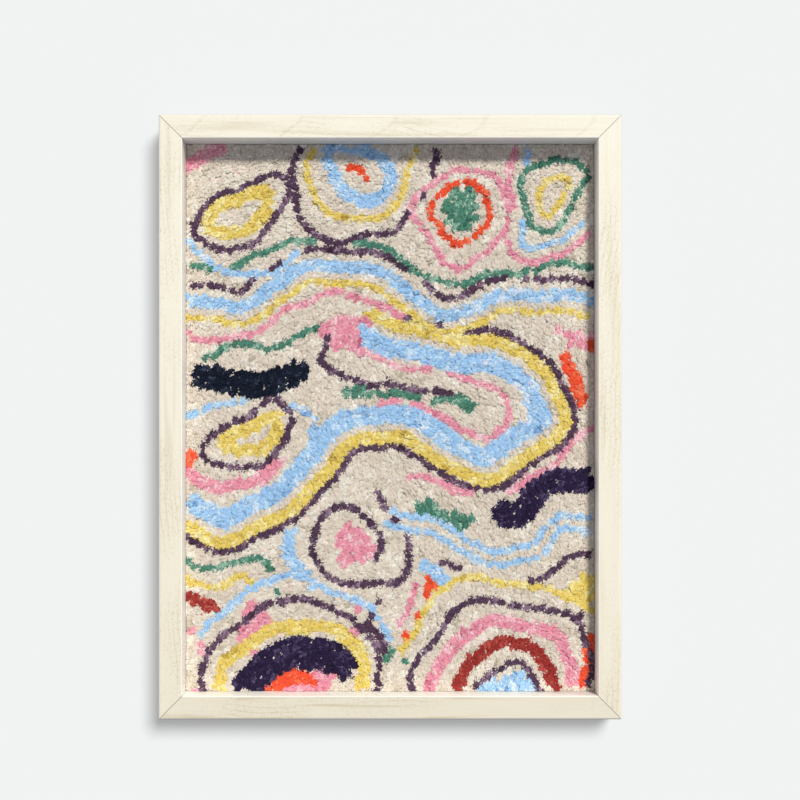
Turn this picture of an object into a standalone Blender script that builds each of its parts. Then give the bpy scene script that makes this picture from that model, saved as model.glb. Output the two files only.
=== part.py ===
"""Tufted wall art in a deep wooden box frame.

Four mitred rails make the frame. Four pale spacer strips line its rebate and hold the margin of
one tufted cloth, whose pile stands forward inside the spacers and ends well behind the frame's face.

Units are metres and +Z is up. The wall is the plane Y = 0 and the picture faces -Y.
The origin is the middle of the top rail's back, where the frame meets the wall.
"""

import math

import bmesh
import bpy

# Sizes of the frame. Its opening takes a 300 x 400 mm picture
OPENING_WIDTH = 0.300
OPENING_HEIGHT = 0.402
RAIL_FACE = 0.017
FRAME_DEPTH = 0.031
LIP_DEPTH = 0.008
REBATE = 0.005
OUTER_EASE = 0.0015
INNER_EASE = 0.0006
EASE_STEPS = 4

# Gaps between neighbouring pieces
GAP = 0.0003
CLOTH_SIDE_GAP = 0.0005
PILE_SIDE_GAP = 0.0005

# Sizes of the tufted cloth. Its pile is lower at the top of the picture than at the bottom
GROUND_INSET = 0.0012
GROUND_THICKNESS = 0.0018
PILE_AT_TOP = 0.0090
PILE_AT_BOTTOM = 0.0118
ROOT_INSET = 0.0012
RIM_WIDTH = 0.0026
RIM_DROP = 0.0016
PILE_CELL = 0.0075
EDGE_WAVE = 0.0004
EDGE_WAVE_LENGTH = 0.031

# Soft swells of the cut pile: a row for each, with its wavelength across and up, its turn and its rise
SWELLS = (
    {"across": 0.083, "up": 0.097, "turn": 0.4, "rise": 0.00038},
    {"across": 0.057, "up": 0.043, "turn": 2.1, "rise": 0.00027},
    {"across": 0.036, "up": 0.071, "turn": 4.0, "rise": 0.00021},
    {"across": 0.029, "up": 0.034, "turn": 5.3, "rise": 0.00014},
)

# Sizes that follow from those above
OUTER_WIDTH = OPENING_WIDTH + 2 * RAIL_FACE
OUTER_HEIGHT = OPENING_HEIGHT + 2 * RAIL_FACE
BACK_BAND = RAIL_FACE - REBATE
CENTRE_Z = BACK_BAND / 2 - OUTER_HEIGHT / 2
MITRE_TRIM = GAP / math.sqrt(2)
GROUND_FRONT = GROUND_INSET + GROUND_THICKNESS
PILE_WIDTH = OPENING_WIDTH - 2 * PILE_SIDE_GAP
PILE_LENGTH = OPENING_HEIGHT - 2 * PILE_SIDE_GAP
CLOTH_WIDTH = OPENING_WIDTH + 2 * (REBATE - CLOTH_SIDE_GAP)
CLOTH_LENGTH = OPENING_HEIGHT + 2 * (REBATE - CLOTH_SIDE_GAP)
SPACER_FRONT = FRAME_DEPTH - LIP_DEPTH - GAP
SPACER_BACK = GROUND_FRONT + GAP
SPACER_THICKNESS = REBATE - GAP

# The plain colours of the finishes: red, green, blue and roughness
FINISHES = {
    "pale_wood": (0.92, 0.86, 0.72, 0.55),
    "pale_spacer": (0.86, 0.86, 0.86, 0.60),
    "tufted_yarn": (0.68, 0.60, 0.49, 0.95),
}


def clear_scene():
    """Removes every object that is in the file."""
    for old in list(bpy.data.objects):
        bpy.data.objects.remove(old)


def finish(name):
    """Returns the named finish as a material, and makes it the first time."""
    material = bpy.data.materials.get(name)
    if material is None:
        red, green, blue, roughness = FINISHES[name]
        material = bpy.data.materials.new(name)
        material.use_nodes = True
        shader = material.node_tree.nodes["Principled BSDF"]
        shader.inputs["Base Color"].default_value = (red, green, blue, 1.0)
        shader.inputs["Roughness"].default_value = roughness
        shader.inputs["Metallic"].default_value = 0.0
    return material


def add_object(name, shape, finish_name, turn=0):
    """Turns a bmesh into a named object at the frame's middle, turned about Y by some degrees."""
    bmesh.ops.recalc_face_normals(shape, faces=shape.faces)
    mesh = bpy.data.meshes.new(name)
    shape.to_mesh(mesh)
    shape.free()
    mesh.materials.append(finish(finish_name))
    mesh.shade_smooth()
    mesh.set_sharp_from_angle(angle=math.radians(35))
    thing = bpy.data.objects.new(name, mesh)
    thing.location = (0.0, 0.0, CENTRE_Z)
    thing.rotation_euler = (0.0, math.radians(turn), 0.0)
    bpy.context.scene.collection.objects.link(thing)


def arc(across, depth, radius, start, end):
    """Returns points of an arc in the rail's section, from one angle to another in degrees."""
    angles = [math.radians(start + (end - start) * i / EASE_STEPS) for i in range(EASE_STEPS + 1)]
    return [(across + radius * math.cos(a), depth + radius * math.sin(a)) for a in angles]


def rail_section():
    """Returns the rail's outline as (distance in from the outer edge, depth out from the wall)."""
    outer_corner = arc(OUTER_EASE, FRAME_DEPTH - OUTER_EASE, OUTER_EASE, 180, 90)
    inner_corner = arc(RAIL_FACE - INNER_EASE, FRAME_DEPTH - INNER_EASE, INNER_EASE, 90, 0)
    lip_back = FRAME_DEPTH - LIP_DEPTH
    rebate = [(RAIL_FACE, lip_back), (BACK_BAND, lip_back), (BACK_BAND, 0.0)]
    return [(0.0, 0.0)] + outer_corner + inner_corner + rebate


def add_loop(shape, points):
    """Adds points to a bmesh as one closed loop, and returns its edges."""
    corners = [shape.verts.new(point) for point in points]
    return [shape.edges.new((corners[i - 1], corners[i])) for i in range(len(corners))]


def make_rail(name, length, distance, turn):
    """Makes a rail with mitred ends, whose outer edge lies at a distance from the frame's middle."""
    shape = bmesh.new()
    loops = []
    for end in (-1, 1):
        points = []
        for inward, depth in rail_section():
            along = length / 2 - inward - MITRE_TRIM
            points.append((end * along, -depth, distance - inward))
        loops.append(add_loop(shape, points))
    bmesh.ops.bridge_loops(shape, edges=loops[0] + loops[1])
    for loop in loops:
        bmesh.ops.edgeloop_fill(shape, edges=loop)
    add_object(name, shape, "pale_wood", turn)


def make_spacer(name, length, distance, turn):
    """Makes a spacer strip, whose inner face lies at a distance from the frame's middle."""
    shape = bmesh.new()
    bmesh.ops.create_cube(shape, size=1.0)
    depth = SPACER_FRONT - SPACER_BACK
    bmesh.ops.scale(shape, vec=(length, depth, SPACER_THICKNESS), verts=shape.verts)
    middle = (0.0, -(SPACER_FRONT + SPACER_BACK) / 2, distance + SPACER_THICKNESS / 2)
    bmesh.ops.translate(shape, vec=middle, verts=shape.verts)
    add_object(name, shape, "pale_spacer", turn)


def edge_wave(along):
    """Returns how far the pile's edge wanders in at a place along it."""
    return EDGE_WAVE * (1 + math.sin(2 * math.pi * along / EDGE_WAVE_LENGTH))


def pile_height(x, z):
    """Returns the pile's height over the ground cloth, at a place measured from the cloth's middle."""
    share = z / OPENING_HEIGHT + 0.5
    height = PILE_AT_BOTTOM + (PILE_AT_TOP - PILE_AT_BOTTOM) * share
    for swell in SWELLS:
        across = math.sin(2 * math.pi * x / swell["across"] + swell["turn"])
        up = math.cos(2 * math.pi * z / swell["up"] + 2 * swell["turn"])
        height += swell["rise"] * across * up
    return height


def stations(length):
    """Returns places across the pile: its edge, the end of its soft rim, and then even cells."""
    half = length / 2
    inner = half - RIM_WIDTH
    cells = round(2 * inner / PILE_CELL)
    return [-half] + [inner * (2 * i / cells - 1) for i in range(cells + 1)] + [half]


def shape_pile(shape):
    """Lays a grid over the pile's tips, with a lower rim and a wandering edge."""
    across = stations(PILE_WIDTH)
    up = stations(PILE_LENGTH)
    last_across = len(across) - 1
    last_up = len(up) - 1
    bmesh.ops.create_grid(shape, x_segments=last_across, y_segments=last_up, size=1.0)
    for corner in shape.verts:
        i = round((corner.co.x + 1) / 2 * last_across)
        j = round((corner.co.y + 1) / 2 * last_up)
        x, z = across[i], up[j]
        height = pile_height(x, z)
        wander_x = math.copysign(edge_wave(z), x) if i in (0, last_across) else 0.0
        wander_z = math.copysign(edge_wave(x), z) if j in (0, last_up) else 0.0
        if wander_x or wander_z:
            height -= RIM_DROP
        corner.co = (x - wander_x, -(GROUND_FRONT + height), z - wander_z)


def add_ring(shape, share_across, share_up, inset):
    """Carries the sheet's open edge on by one ring of faces, spread by two shares, at an inset."""
    edges = [edge for edge in shape.edges if edge.is_boundary]
    made = bmesh.ops.extrude_edge_only(shape, edges=edges)["geom"]
    for corner in made:
        if isinstance(corner, bmesh.types.BMVert):
            corner.co = (corner.co.x * share_across, -inset, corner.co.z * share_up)


def make_tufted_cloth(name):
    """Makes the cloth as one solid: its uneven pile, the bare margin round it and its flat back."""
    shape = bmesh.new()
    shape_pile(shape)
    root_width = PILE_WIDTH - 2 * ROOT_INSET
    root_length = PILE_LENGTH - 2 * ROOT_INSET
    add_ring(shape, root_width / PILE_WIDTH, root_length / PILE_LENGTH, GROUND_FRONT)
    add_ring(shape, CLOTH_WIDTH / root_width, CLOTH_LENGTH / root_length, GROUND_FRONT)
    add_ring(shape, 1.0, 1.0, GROUND_INSET)
    back_edges = [edge for edge in shape.edges if edge.is_boundary]
    bmesh.ops.edgeloop_fill(shape, edges=back_edges)
    add_object(name, shape, "tufted_yarn")


def main():
    """Builds the frame, its spacers and the tufted cloth."""
    clear_scene()
    sides = (
        ("top", OUTER_WIDTH, OUTER_HEIGHT / 2, 0),
        ("right", OUTER_HEIGHT, OUTER_WIDTH / 2, 90),
        ("bottom", OUTER_WIDTH, OUTER_HEIGHT / 2, 180),
        ("left", OUTER_HEIGHT, OUTER_WIDTH / 2, 270),
    )
    for side, length, distance, turn in sides:
        make_rail(f"rail_{side}", length, distance, turn)
        opening = length - 2 * RAIL_FACE
        strip = opening + 2 * SPACER_THICKNESS if side in ("top", "bottom") else opening - 2 * GAP
        make_spacer(f"spacer_{side}", strip, distance - RAIL_FACE, turn)
    make_tufted_cloth("tufted_cloth")


main()
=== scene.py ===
"""Visual model of a tufted picture in a pale wood box frame.

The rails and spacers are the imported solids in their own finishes. The cloth is made anew: a woven ground,
and a cut pile of short strands of yarn, bundled in tufts that follow the strokes of the picture.

Lengths are metres. Only the picture's design, from Stroke to PictureLayout, counts in millimetres from
the picture's middle, with x to the right and z up. The wall is the plane y = 0 and the picture faces -y.
"""

import logging
import math
import random
from dataclasses import dataclass, field
from enum import Enum

import bmesh
import bpy
import numpy as np
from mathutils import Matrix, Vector
from mathutils.bvhtree import BVHTree
from mathutils.kdtree import KDTree


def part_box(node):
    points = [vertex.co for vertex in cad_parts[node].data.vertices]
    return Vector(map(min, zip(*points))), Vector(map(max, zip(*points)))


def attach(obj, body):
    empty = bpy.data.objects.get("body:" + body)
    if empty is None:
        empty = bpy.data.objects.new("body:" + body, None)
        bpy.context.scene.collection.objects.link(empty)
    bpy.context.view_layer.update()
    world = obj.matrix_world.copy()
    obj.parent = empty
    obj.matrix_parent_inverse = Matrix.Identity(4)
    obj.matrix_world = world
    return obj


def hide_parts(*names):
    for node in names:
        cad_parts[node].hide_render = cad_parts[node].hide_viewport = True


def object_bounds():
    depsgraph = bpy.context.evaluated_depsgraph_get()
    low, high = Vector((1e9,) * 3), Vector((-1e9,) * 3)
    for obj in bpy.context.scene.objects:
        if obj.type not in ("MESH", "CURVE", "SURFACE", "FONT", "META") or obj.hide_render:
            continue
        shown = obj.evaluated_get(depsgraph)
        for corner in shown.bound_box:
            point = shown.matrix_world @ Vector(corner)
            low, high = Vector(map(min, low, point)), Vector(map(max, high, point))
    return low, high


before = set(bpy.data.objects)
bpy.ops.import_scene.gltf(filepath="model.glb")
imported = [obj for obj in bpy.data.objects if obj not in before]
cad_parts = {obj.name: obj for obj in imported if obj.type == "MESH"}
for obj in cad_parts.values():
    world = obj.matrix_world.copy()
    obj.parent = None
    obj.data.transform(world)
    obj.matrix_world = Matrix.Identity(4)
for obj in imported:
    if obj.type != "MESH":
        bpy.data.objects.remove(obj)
CAD_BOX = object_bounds()

logging.basicConfig(level=logging.INFO, format="%(name)s: %(message)s")
log = logging.getLogger("tufted_picture")

BODY = "root"
CLOTH_NODE = "tufted_cloth"
MM = 0.001
PACKED_GAP = 0.0003
PILE_INSET = 0.0004
Point = tuple[float, float]
Numbers = tuple[float, float, float]
Colour = tuple[int, int, int]
Stop = tuple[float, tuple[float, float, float, float]]


class Yarn(Enum):
    """The yarns of the picture, each by the letter that names it in a stroke's rows."""

    CREAM = "C"
    PLUM = "P"
    SKY = "S"
    YELLOW = "Y"
    PINK = "K"
    GREEN = "G"
    ORANGE = "O"
    RED = "R"
    NAVY = "N"
    VIOLET = "V"


@dataclass(frozen=True)
class Shades:
    """The colours that one yarn's strands take, as display colours from 0 to 255.

    Attributes:
        dull: The dullest strand.
        body: The colour of most strands.
        tint: A near shade that runs through the body colour.
        bright: The strand that catches the most light.
        stray: A colour that a few strands lean to, where fibres are mixed in.
    """

    dull: Colour
    body: Colour
    tint: Colour
    bright: Colour
    stray: Colour


YARN_SHADES: dict[Yarn, Shades] = {
    Yarn.CREAM: Shades((190, 178, 160), (233, 224, 206), (235, 219, 208), (255, 252, 242), (244, 218, 208)),
    Yarn.PLUM: Shades((46, 28, 48), (97, 72, 93), (88, 62, 90), (180, 152, 174), (98, 66, 80)),
    Yarn.SKY: Shades((110, 156, 210), (180, 221, 249), (168, 208, 250), (246, 252, 255), (200, 212, 248)),
    Yarn.YELLOW: Shades((194, 160, 62), (245, 222, 122), (236, 210, 100), (255, 252, 200), (244, 218, 146)),
    Yarn.PINK: Shades((200, 100, 132), (246, 172, 186), (238, 150, 178), (255, 232, 236), (247, 160, 174)),
    Yarn.GREEN: Shades((34, 84, 66), (94, 150, 126), (78, 140, 126), (184, 220, 198), (84, 136, 138)),
    Yarn.ORANGE: Shades((206, 58, 34), (250, 100, 62), (250, 84, 60), (255, 154, 116), (240, 96, 80)),
    Yarn.RED: Shades((116, 32, 32), (172, 62, 56), (160, 50, 52), (214, 112, 98), (156, 50, 56)),
    Yarn.NAVY: Shades((8, 13, 24), (24, 32, 48), (24, 28, 48), (72, 82, 104), (28, 28, 58)),
    Yarn.VIOLET: Shades((26, 20, 42), (48, 38, 70), (46, 32, 66), (106, 90, 128), (52, 32, 62)),
}


def linear(colour: Colour) -> tuple[float, float, float, float]:
    """Turns a display colour into the linear colour that a shader takes.

    Args:
        colour: Red, green and blue from 0 to 255.

    Returns:
        Linear red, green, blue and an alpha of 1.
    """
    shares = [c / 255 for c in colour]
    flat = [s / 12.92 if s <= 0.04045 else ((s + 0.055) / 1.055) ** 2.4 for s in shares]
    return (flat[0], flat[1], flat[2], 1.0)


def placed(name: str, data: bpy.types.ID) -> bpy.types.Object:
    """Makes an object and puts it in the scene.

    Args:
        name: Its name.
        data: Its mesh, lamp or camera.

    Returns:
        The object.
    """
    made = bpy.data.objects.new(name, data)
    bpy.context.scene.collection.objects.link(made)
    return made


class Channel:
    """A number that runs through a node tree. Arithmetic on it adds Math nodes."""

    def __init__(self, net: "NodeNet", socket: bpy.types.NodeSocket) -> None:
        """Keeps the tree and the socket that gives the number."""
        self.net = net
        self.socket = socket

    def __add__(self, other: "Channel | float") -> "Channel":
        """Adds."""
        return self.net.maths("ADD", self, other)

    __radd__ = __add__

    def __sub__(self, other: "Channel | float") -> "Channel":
        """Takes away."""
        return self.net.maths("SUBTRACT", self, other)

    def __rsub__(self, other: float) -> "Channel":
        """Takes this number away from another."""
        return self.net.maths("SUBTRACT", other, self)

    def __mul__(self, other: "Channel | float") -> "Channel":
        """Multiplies."""
        return self.net.maths("MULTIPLY", self, other)

    __rmul__ = __mul__

    def sine(self) -> "Channel":
        """Gives the sine of this number, in radians."""
        return self.net.maths("SINE", self)

    def clamped(self) -> "Channel":
        """Holds the number between 0 and 1."""
        made = self.net.node("ShaderNodeClamp", {}, {"Value": self})
        return Channel(self.net, made.outputs[0])

    def rise(self, start: float, slope: float) -> "Channel":
        """Gives 0 up to a start, and climbs from there by a slope, to 1 at most."""
        return ((self - start) * slope).clamped()


class NodeNet:
    """The node tree of a finish or of the sky. All of its nodes come from one method."""

    def __init__(self, tree: bpy.types.NodeTree) -> None:
        """Keeps the tree."""
        self.tree = tree

    def put(self, socket: bpy.types.NodeSocket, what: object) -> None:
        """Sets or links an input socket.

        Args:
            socket: The input socket.
            what: A value, a channel or an output socket.
        """
        if isinstance(what, Channel):
            what = what.socket
        if isinstance(what, bpy.types.NodeSocket):
            self.tree.links.new(what, socket)
        else:
            socket.default_value = what

    def node(
        self, kind: str, settings: dict[str, object], sockets: dict[str | int, object]
    ) -> bpy.types.Node:
        """Adds a node.

        Args:
            kind: The node's type.
            settings: Its own settings, with a colour ramp's stops under "stops".
            sockets: Values or links of its input sockets, by name or number.

        Returns:
            The new node.
        """
        made = self.tree.nodes.new(kind)
        for name, setting in settings.items():
            if name == "stops":
                self.set_stops(made.color_ramp, setting)
            else:
                setattr(made, name, setting)
        for key, what in sockets.items():
            self.put(made.inputs[key], what)
        return made

    @staticmethod
    def set_stops(ramp: bpy.types.ColorRamp, stops: list[Stop]) -> None:
        """Gives a colour ramp its stops.

        Args:
            ramp: The ramp.
            stops: Each stop's place, from 0 to 1, and its linear colour.
        """
        while len(ramp.elements) < len(stops):
            ramp.elements.new(1.0)
        for element, (place, colour) in zip(ramp.elements, stops):
            element.position = place
            element.color = colour

    def maths(self, operation: str, *numbers: "Channel | float") -> Channel:
        """Adds a Math node on one or two numbers."""
        made = self.node("ShaderNodeMath", {"operation": operation}, dict(enumerate(numbers)))
        return Channel(self, made.outputs[0])

    def mixed(self, share: object, one: object, other: object, mode: str = "MIX") -> bpy.types.NodeSocket:
        """Mixes two colours by a share, and returns the mixed colour."""
        settings = {"data_type": "RGBA", "blend_type": mode}
        return self.node("ShaderNodeMix", settings, {0: share, 6: one, 7: other}).outputs[2]

    def ramp(self, number: Channel, stops: list[Stop]) -> bpy.types.NodeSocket:
        """Turns a number into a colour by a ramp."""
        return self.node("ShaderNodeValToRGB", {"stops": stops}, {0: number}).outputs[0]

    def place(self, scale: Numbers, shift: Numbers = (0.0, 0.0, 0.0)) -> bpy.types.NodeSocket:
        """Gives the object's own coordinates.

        Args:
            scale: What each is multiplied by.
            shift: What is added to each of them then.

        Returns:
            Their socket.
        """
        own = self.node("ShaderNodeTexCoord", {}, {}).outputs["Object"]
        sockets = {"Vector": own, "Location": shift, "Scale": scale}
        return self.node("ShaderNodeMapping", {}, sockets).outputs[0]

    def axes(self, vector: object) -> tuple[Channel, ...]:
        """Splits a vector into its three numbers."""
        split = self.node("ShaderNodeSeparateXYZ", {}, {0: vector})
        return tuple(Channel(self, socket) for socket in split.outputs)

    def noise(self, vector: object, detail: float, roughness: float, warp: float = 0.0) -> Channel:
        """Adds a noise, one swell to a unit.

        Args:
            vector: The coordinates that it lies over.
            detail: How many finer noises lie on it.
            roughness: How strong the finer ones are, from 0 to 1.
            warp: How far it is twisted.

        Returns:
            The noise, from 0 to 1.
        """
        sockets = {"Vector": vector, "Scale": 1.0, "Detail": detail, "Roughness": roughness}
        made = self.node("ShaderNodeTexNoise", {}, {**sockets, "Distortion": warp})
        return Channel(self, made.outputs[0])


class FinishNet(NodeNet):
    """The node tree of one finish, with a Principled shader at its end."""

    def __init__(self, name: str) -> None:
        """Makes the material and finds its shader.

        Args:
            name: The material's name.
        """
        self.material = bpy.data.materials.new(name)
        self.material.use_nodes = True
        super().__init__(self.material.node_tree)
        self.shader = self.tree.nodes["Principled BSDF"]

    def bump(self, height: Channel, distance: float, strength: float) -> None:
        """Gives the surface a fine relief, as deep as distance in metres."""
        sockets = {"Height": height, "Distance": distance, "Strength": strength}
        self.put(self.shader.inputs["Normal"], self.node("ShaderNodeBump", {}, sockets).outputs[0])

    def finish(self, **sockets: object) -> bpy.types.Material:
        """Sets sockets of the shader.

        Args:
            **sockets: Values or links, by the sockets' names with underscores for their spaces.

        Returns:
            The material.
        """
        for name, what in sockets.items():
            self.put(self.shader.inputs[name.replace("_", " ")], what)
        return self.material


@dataclass(frozen=True)
class YarnFinish:
    """Cut ends of one yarn, differing in tone across the strand map, with painted shade toward the root.

    Attributes:
        yarn: The yarn.
        shades: Its colours.
        strand_map: The map that a strand's shade and height are read from.
        root_shade: How much of its colour a strand keeps at its root, beside its tip; the rest is painted
            shade.
        brightening: How fast that painted shade fades up the strand, where 1 is evenly up to its tip.
        sheen: How much its fibres shine at a glancing view.
        roughness: How matt it is.
    """

    yarn: Yarn
    shades: Shades
    strand_map: str = "strand"
    root_shade: float = 0.8
    brightening: float = 1.35
    sheen: float = 0.15
    roughness: float = 0.92

    def material(self) -> bpy.types.Material:
        """Makes the yarn's material.

        Returns:
            The material.
        """
        net = FinishNet(f"yarn_{self.yarn.name.lower()}")
        at = net.node("ShaderNodeUVMap", {"uv_map": self.strand_map}, {}).outputs[0]
        shade, height, _ = net.axes(at)
        body = linear(self.shades.body)
        stops = [
            (0.0, linear(self.shades.dull)),
            (0.36, body),
            (0.46, linear(self.shades.tint)),
            (0.57, body),
            (0.82, linear(self.shades.bright)),
            (0.92, linear(self.shades.stray)),
            (1.0, linear(self.shades.stray)),
        ]
        colour = net.ramp(shade, stops)
        # Painted shade: each strand darkens toward its root, where it lies deep in the pile.
        lift = (self.root_shade + (1.0 - self.root_shade) * (height * self.brightening).clamped()).clamped()
        painted_root_shade = net.node("ShaderNodeCombineColor", {}, {0: lift, 1: lift, 2: lift}).outputs[0]
        return net.finish(
            Base_Color=net.mixed(1.0, colour, painted_root_shade, "MULTIPLY"),
            Roughness=self.roughness,
            Sheen_Weight=self.sheen,
            Sheen_Roughness=0.5,
            Sheen_Tint=linear(self.shades.bright),
            Specular_IOR_Level=0.15,
        )


@dataclass(frozen=True)
class Grain:
    """Marks in a wood, laid as a noise.

    Attributes:
        length: How long they are, along the rail.
        width: How wide they are.
        detail: How many finer noises lie on them.
        roughness: How strong the finer ones are.
        warp: How far they are twisted.
    """

    length: float
    width: float
    detail: float
    roughness: float
    warp: float = 0.0


@dataclass(frozen=True)
class WoodFinish:
    """Pale limed wood: slanted growth lines, fine grain, painted light and shade at its edges and lower
    end.

    Attributes:
        name: The material's name.
        upright: Whether the rail stands, so that its grain runs up.
        outwards: Which way the frame's outside lies across the rail, 1 or -1.
        middle: Where the middle of the rail's face lies across its grain.
        face: The width of its face.
        front: Where its face lies across from the wall.
        shift: Where in the noises this rail is cut from.
        slant: How far its growth lines cross the rail for each metre along it.
        brown: How much darker streaks the rail has, from 0 to 1.
        tone: How much light the wood gives back, beside the other rails.
        under: How much painted shade darkens its lowest edge and underside, from 0 to 1.
        arcs: How dark its few broad growth arcs are, from 0 to 1.
        lower_shade: How much painted shade darkens it toward the frame's lower end, from 0 to 1.
        outer: The colour painted on its outer rounded edge, a highlight where pale, painted shade where
            darker.
        pale: The colour of most of its face.
        streak: The colour of its soft streaks.
        line: The colour of its growth lines and darkest streaks.
        inner_highlight: The colour of the painted highlight on its inner rounded edge and inner side.
        under_shade_colour: The colour of the painted shade on its lowest edge and underside.
    """

    name: str
    upright: bool
    outwards: float
    middle: float
    face: float
    front: float
    shift: float
    slant: float = 0.12
    brown: float = 0.2
    tone: float = 1.0
    under: float = 0.0
    arcs: float = 0.0
    lower_shade: float = 0.28
    outer: Colour = (255, 253, 245)
    pale: Colour = (254, 250, 232)
    streak: Colour = (247, 240, 218)
    line: Colour = (214, 199, 168)
    inner_highlight: Colour = (255, 253, 245)
    under_shade_colour: Colour = (168, 150, 122)

    BOW = Grain(0.09, 0.05, 2.0, 0.5)
    PATCH = Grain(0.06, 0.02, 1.0, 0.5)
    BROAD = Grain(0.12, 0.005, 2.0, 0.55, 0.5)
    FINE = Grain(0.009, 0.0009, 3.0, 0.65)
    SPECK = Grain(0.0019, 0.0009, 2.0, 0.6)
    LINES_PER_METRE = 260.0
    ARCS_PER_METRE = 14.0
    ARC_SLANT = 1.1
    ARC_BOW = 60.0
    ROUNDED_EDGE = 0.0016
    SIDE_START = 0.0008
    RIM = 0.0011
    SIDE = 0.0006
    UNDER_BAND = 0.0007
    RELIEF = 0.00012

    def grain(self, net: FinishNet, grain: Grain) -> Channel:
        """Lays a grain along the rail.

        Args:
            net: The node tree.
            grain: The marks.

        Returns:
            Their noise, from 0 to 1.
        """
        long, short = 1 / grain.length, 1 / grain.width
        scale = (short, short, long) if self.upright else (long, short, short)
        moved = (self.shift, self.shift * 0.7, self.shift * 1.3)
        return net.noise(net.place(scale, moved), grain.detail, grain.roughness, grain.warp)

    def material(self) -> bpy.types.Material:
        """Makes the rail's wood.

        Returns:
            The material.
        """
        net = FinishNet(self.name)
        x, depth, z = net.axes(net.place((1.0, 1.0, 1.0)))
        along, across = (z, x) if self.upright else (x, z)
        bow, patch, broad = (self.grain(net, grain) for grain in (self.BOW, self.PATCH, self.BROAD))
        fine, speck = self.grain(net, self.FINE), self.grain(net, self.SPECK)
        full_turn = 2 * math.pi
        ring = ((across + along * self.slant) * self.LINES_PER_METRE + bow * 5.0) * full_turn
        growth = ring.sine().rise(0.6, 2.5) * patch.rise(0.46, 5.0)
        off = across - self.middle
        curve = along - off * self.ARC_SLANT + off * off * self.ARC_BOW
        wide_ring = (curve * self.ARCS_PER_METRE + bow * 0.5) * full_turn
        arc = wide_ring.sine().rise(0.982, 60.0) * (speck * 1.7).clamped()
        woods = [linear(colour)[:3] for colour in (self.pale, self.streak, self.line)]
        toned = [tuple(part * self.tone for part in wood) + (1.0,) for wood in woods]
        light = broad.rise(0.38, 2.6) * 0.6 + fine.rise(0.42, 2.6) * 0.5
        colour = net.mixed(light.clamped(), toned[0], toned[1])
        brown = broad.rise(0.56, 7.0) * self.brown
        cloud = patch.rise(0.26, 2.6)
        marks = growth * 0.30 + brown + speck.rise(0.53, 6.0) * cloud * 0.50 + cloud * 0.06
        # Painted shade: the wood darkens toward the frame's lower end, as if less light reached it there.
        lower = (z * -3.0 - 0.3).clamped()
        marks = (marks + arc * self.arcs + lower * self.lower_shade).clamped()
        colour = net.mixed(marks, colour, toned[2])
        out = off * self.outwards
        inwards = -1.0 * out
        front_edge = ((self.front + self.ROUNDED_EDGE - depth) * 1600.0).clamped()
        behind = depth.rise(self.front + self.SIDE_START, 1200.0)
        rim, side = self.face / 2 - self.RIM, self.face / 2 - self.SIDE
        inner_rim_highlight, outer_rim_light_and_shade = inwards.rise(rim, 1600.0) * front_edge, out.rise(rim, 1600.0) * front_edge
        inner_side_highlight, outer_side_shade = inwards.rise(side, 3000.0) * behind, out.rise(side, 3000.0) * behind
        # Painted highlight: the inner rounded edge and inner side are whitened as if they caught the light.
        colour = net.mixed((inner_rim_highlight * 0.7 + inner_side_highlight * 0.8).clamped(), colour, linear(self.inner_highlight))
        # Painted light on the outer rounded edge: a highlight where its colour is pale, shade where it is
        # darker.
        colour = net.mixed(outer_rim_light_and_shade * 0.8, colour, linear(self.outer))
        # Painted shade: the outer sides are darkened toward the line colour, so they look less lit.
        colour = net.mixed(outer_side_shade * 0.45, colour, toned[2])
        # Painted shade along the lowest edge and underside, where the rounded edge faces away from the
        # light.
        if self.under:
            edge = self.middle - self.face / 2 + self.UNDER_BAND
            colour = net.mixed(((edge - across) * 2500.0).clamped() * self.under, colour, linear(self.under_shade_colour))
        net.bump(fine * 0.5 - marks + lower * self.lower_shade, self.RELIEF, 0.35)
        return net.finish(Base_Color=colour, Roughness=0.5 + light * 0.12, Specular_IOR_Level=0.35)


@dataclass(frozen=True)
class SpacerFinish:
    """The matt white coating of the spacer strips, a little mottled."""

    pale: Colour = (246, 241, 232)
    shade: Colour = (237, 232, 222)
    clouds_per_metre: float = 180.0
    grains_per_metre: float = 2600.0
    relief: float = 0.00004

    def material(self) -> bpy.types.Material:
        """Makes the coating.

        Returns:
            The material.
        """
        net = FinishNet("white_coating")
        cloud = net.noise(net.place((self.clouds_per_metre,) * 3), 3.0, 0.6)
        grain = net.noise(net.place((self.grains_per_metre,) * 3), 1.0, 0.5)
        colour = net.mixed(cloud, linear(self.pale), linear(self.shade))
        net.bump(grain, self.relief, 0.3)
        return net.finish(Base_Color=colour, Roughness=0.55 + cloud * 0.1, Specular_IOR_Level=0.35)


@dataclass(frozen=True)
class GroundFinish:
    """Plain woven cotton, one thread over and one under, with some threads thicker for a stretch."""

    pitch: float = 0.0011
    slubs_along: float = 22.0
    slubs_across: float = 620.0
    relief: float = 0.00035
    pale: Colour = (234, 226, 208)
    shade: Colour = (204, 193, 170)

    def material(self) -> bpy.types.Material:
        """Makes the weave.

        Returns:
            The material.
        """
        net = FinishNet("ground_cotton")
        turn = 2 * math.pi / self.pitch
        across, _, up = net.axes(net.place((turn, turn, turn)))
        weave = across.sine() * up.sine() * 0.5 + 0.5
        long, short = self.slubs_along, self.slubs_across
        slub = net.noise(net.place((long, long, short)), 2.0, 0.6) * 0.5
        slub = slub + net.noise(net.place((short, long, long)), 2.0, 0.6) * 0.5
        slub = ((slub - 0.5) * 3.2 + 0.5).clamped()
        colour = net.mixed((weave * 0.4 + slub * 0.7).clamped(), linear(self.shade), linear(self.pale))
        net.bump(weave * 0.7 + slub * 0.3, self.relief, 0.8)
        return net.finish(Base_Color=colour, Roughness=0.95, Sheen_Weight=0.2, Specular_IOR_Level=0.1)


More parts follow.
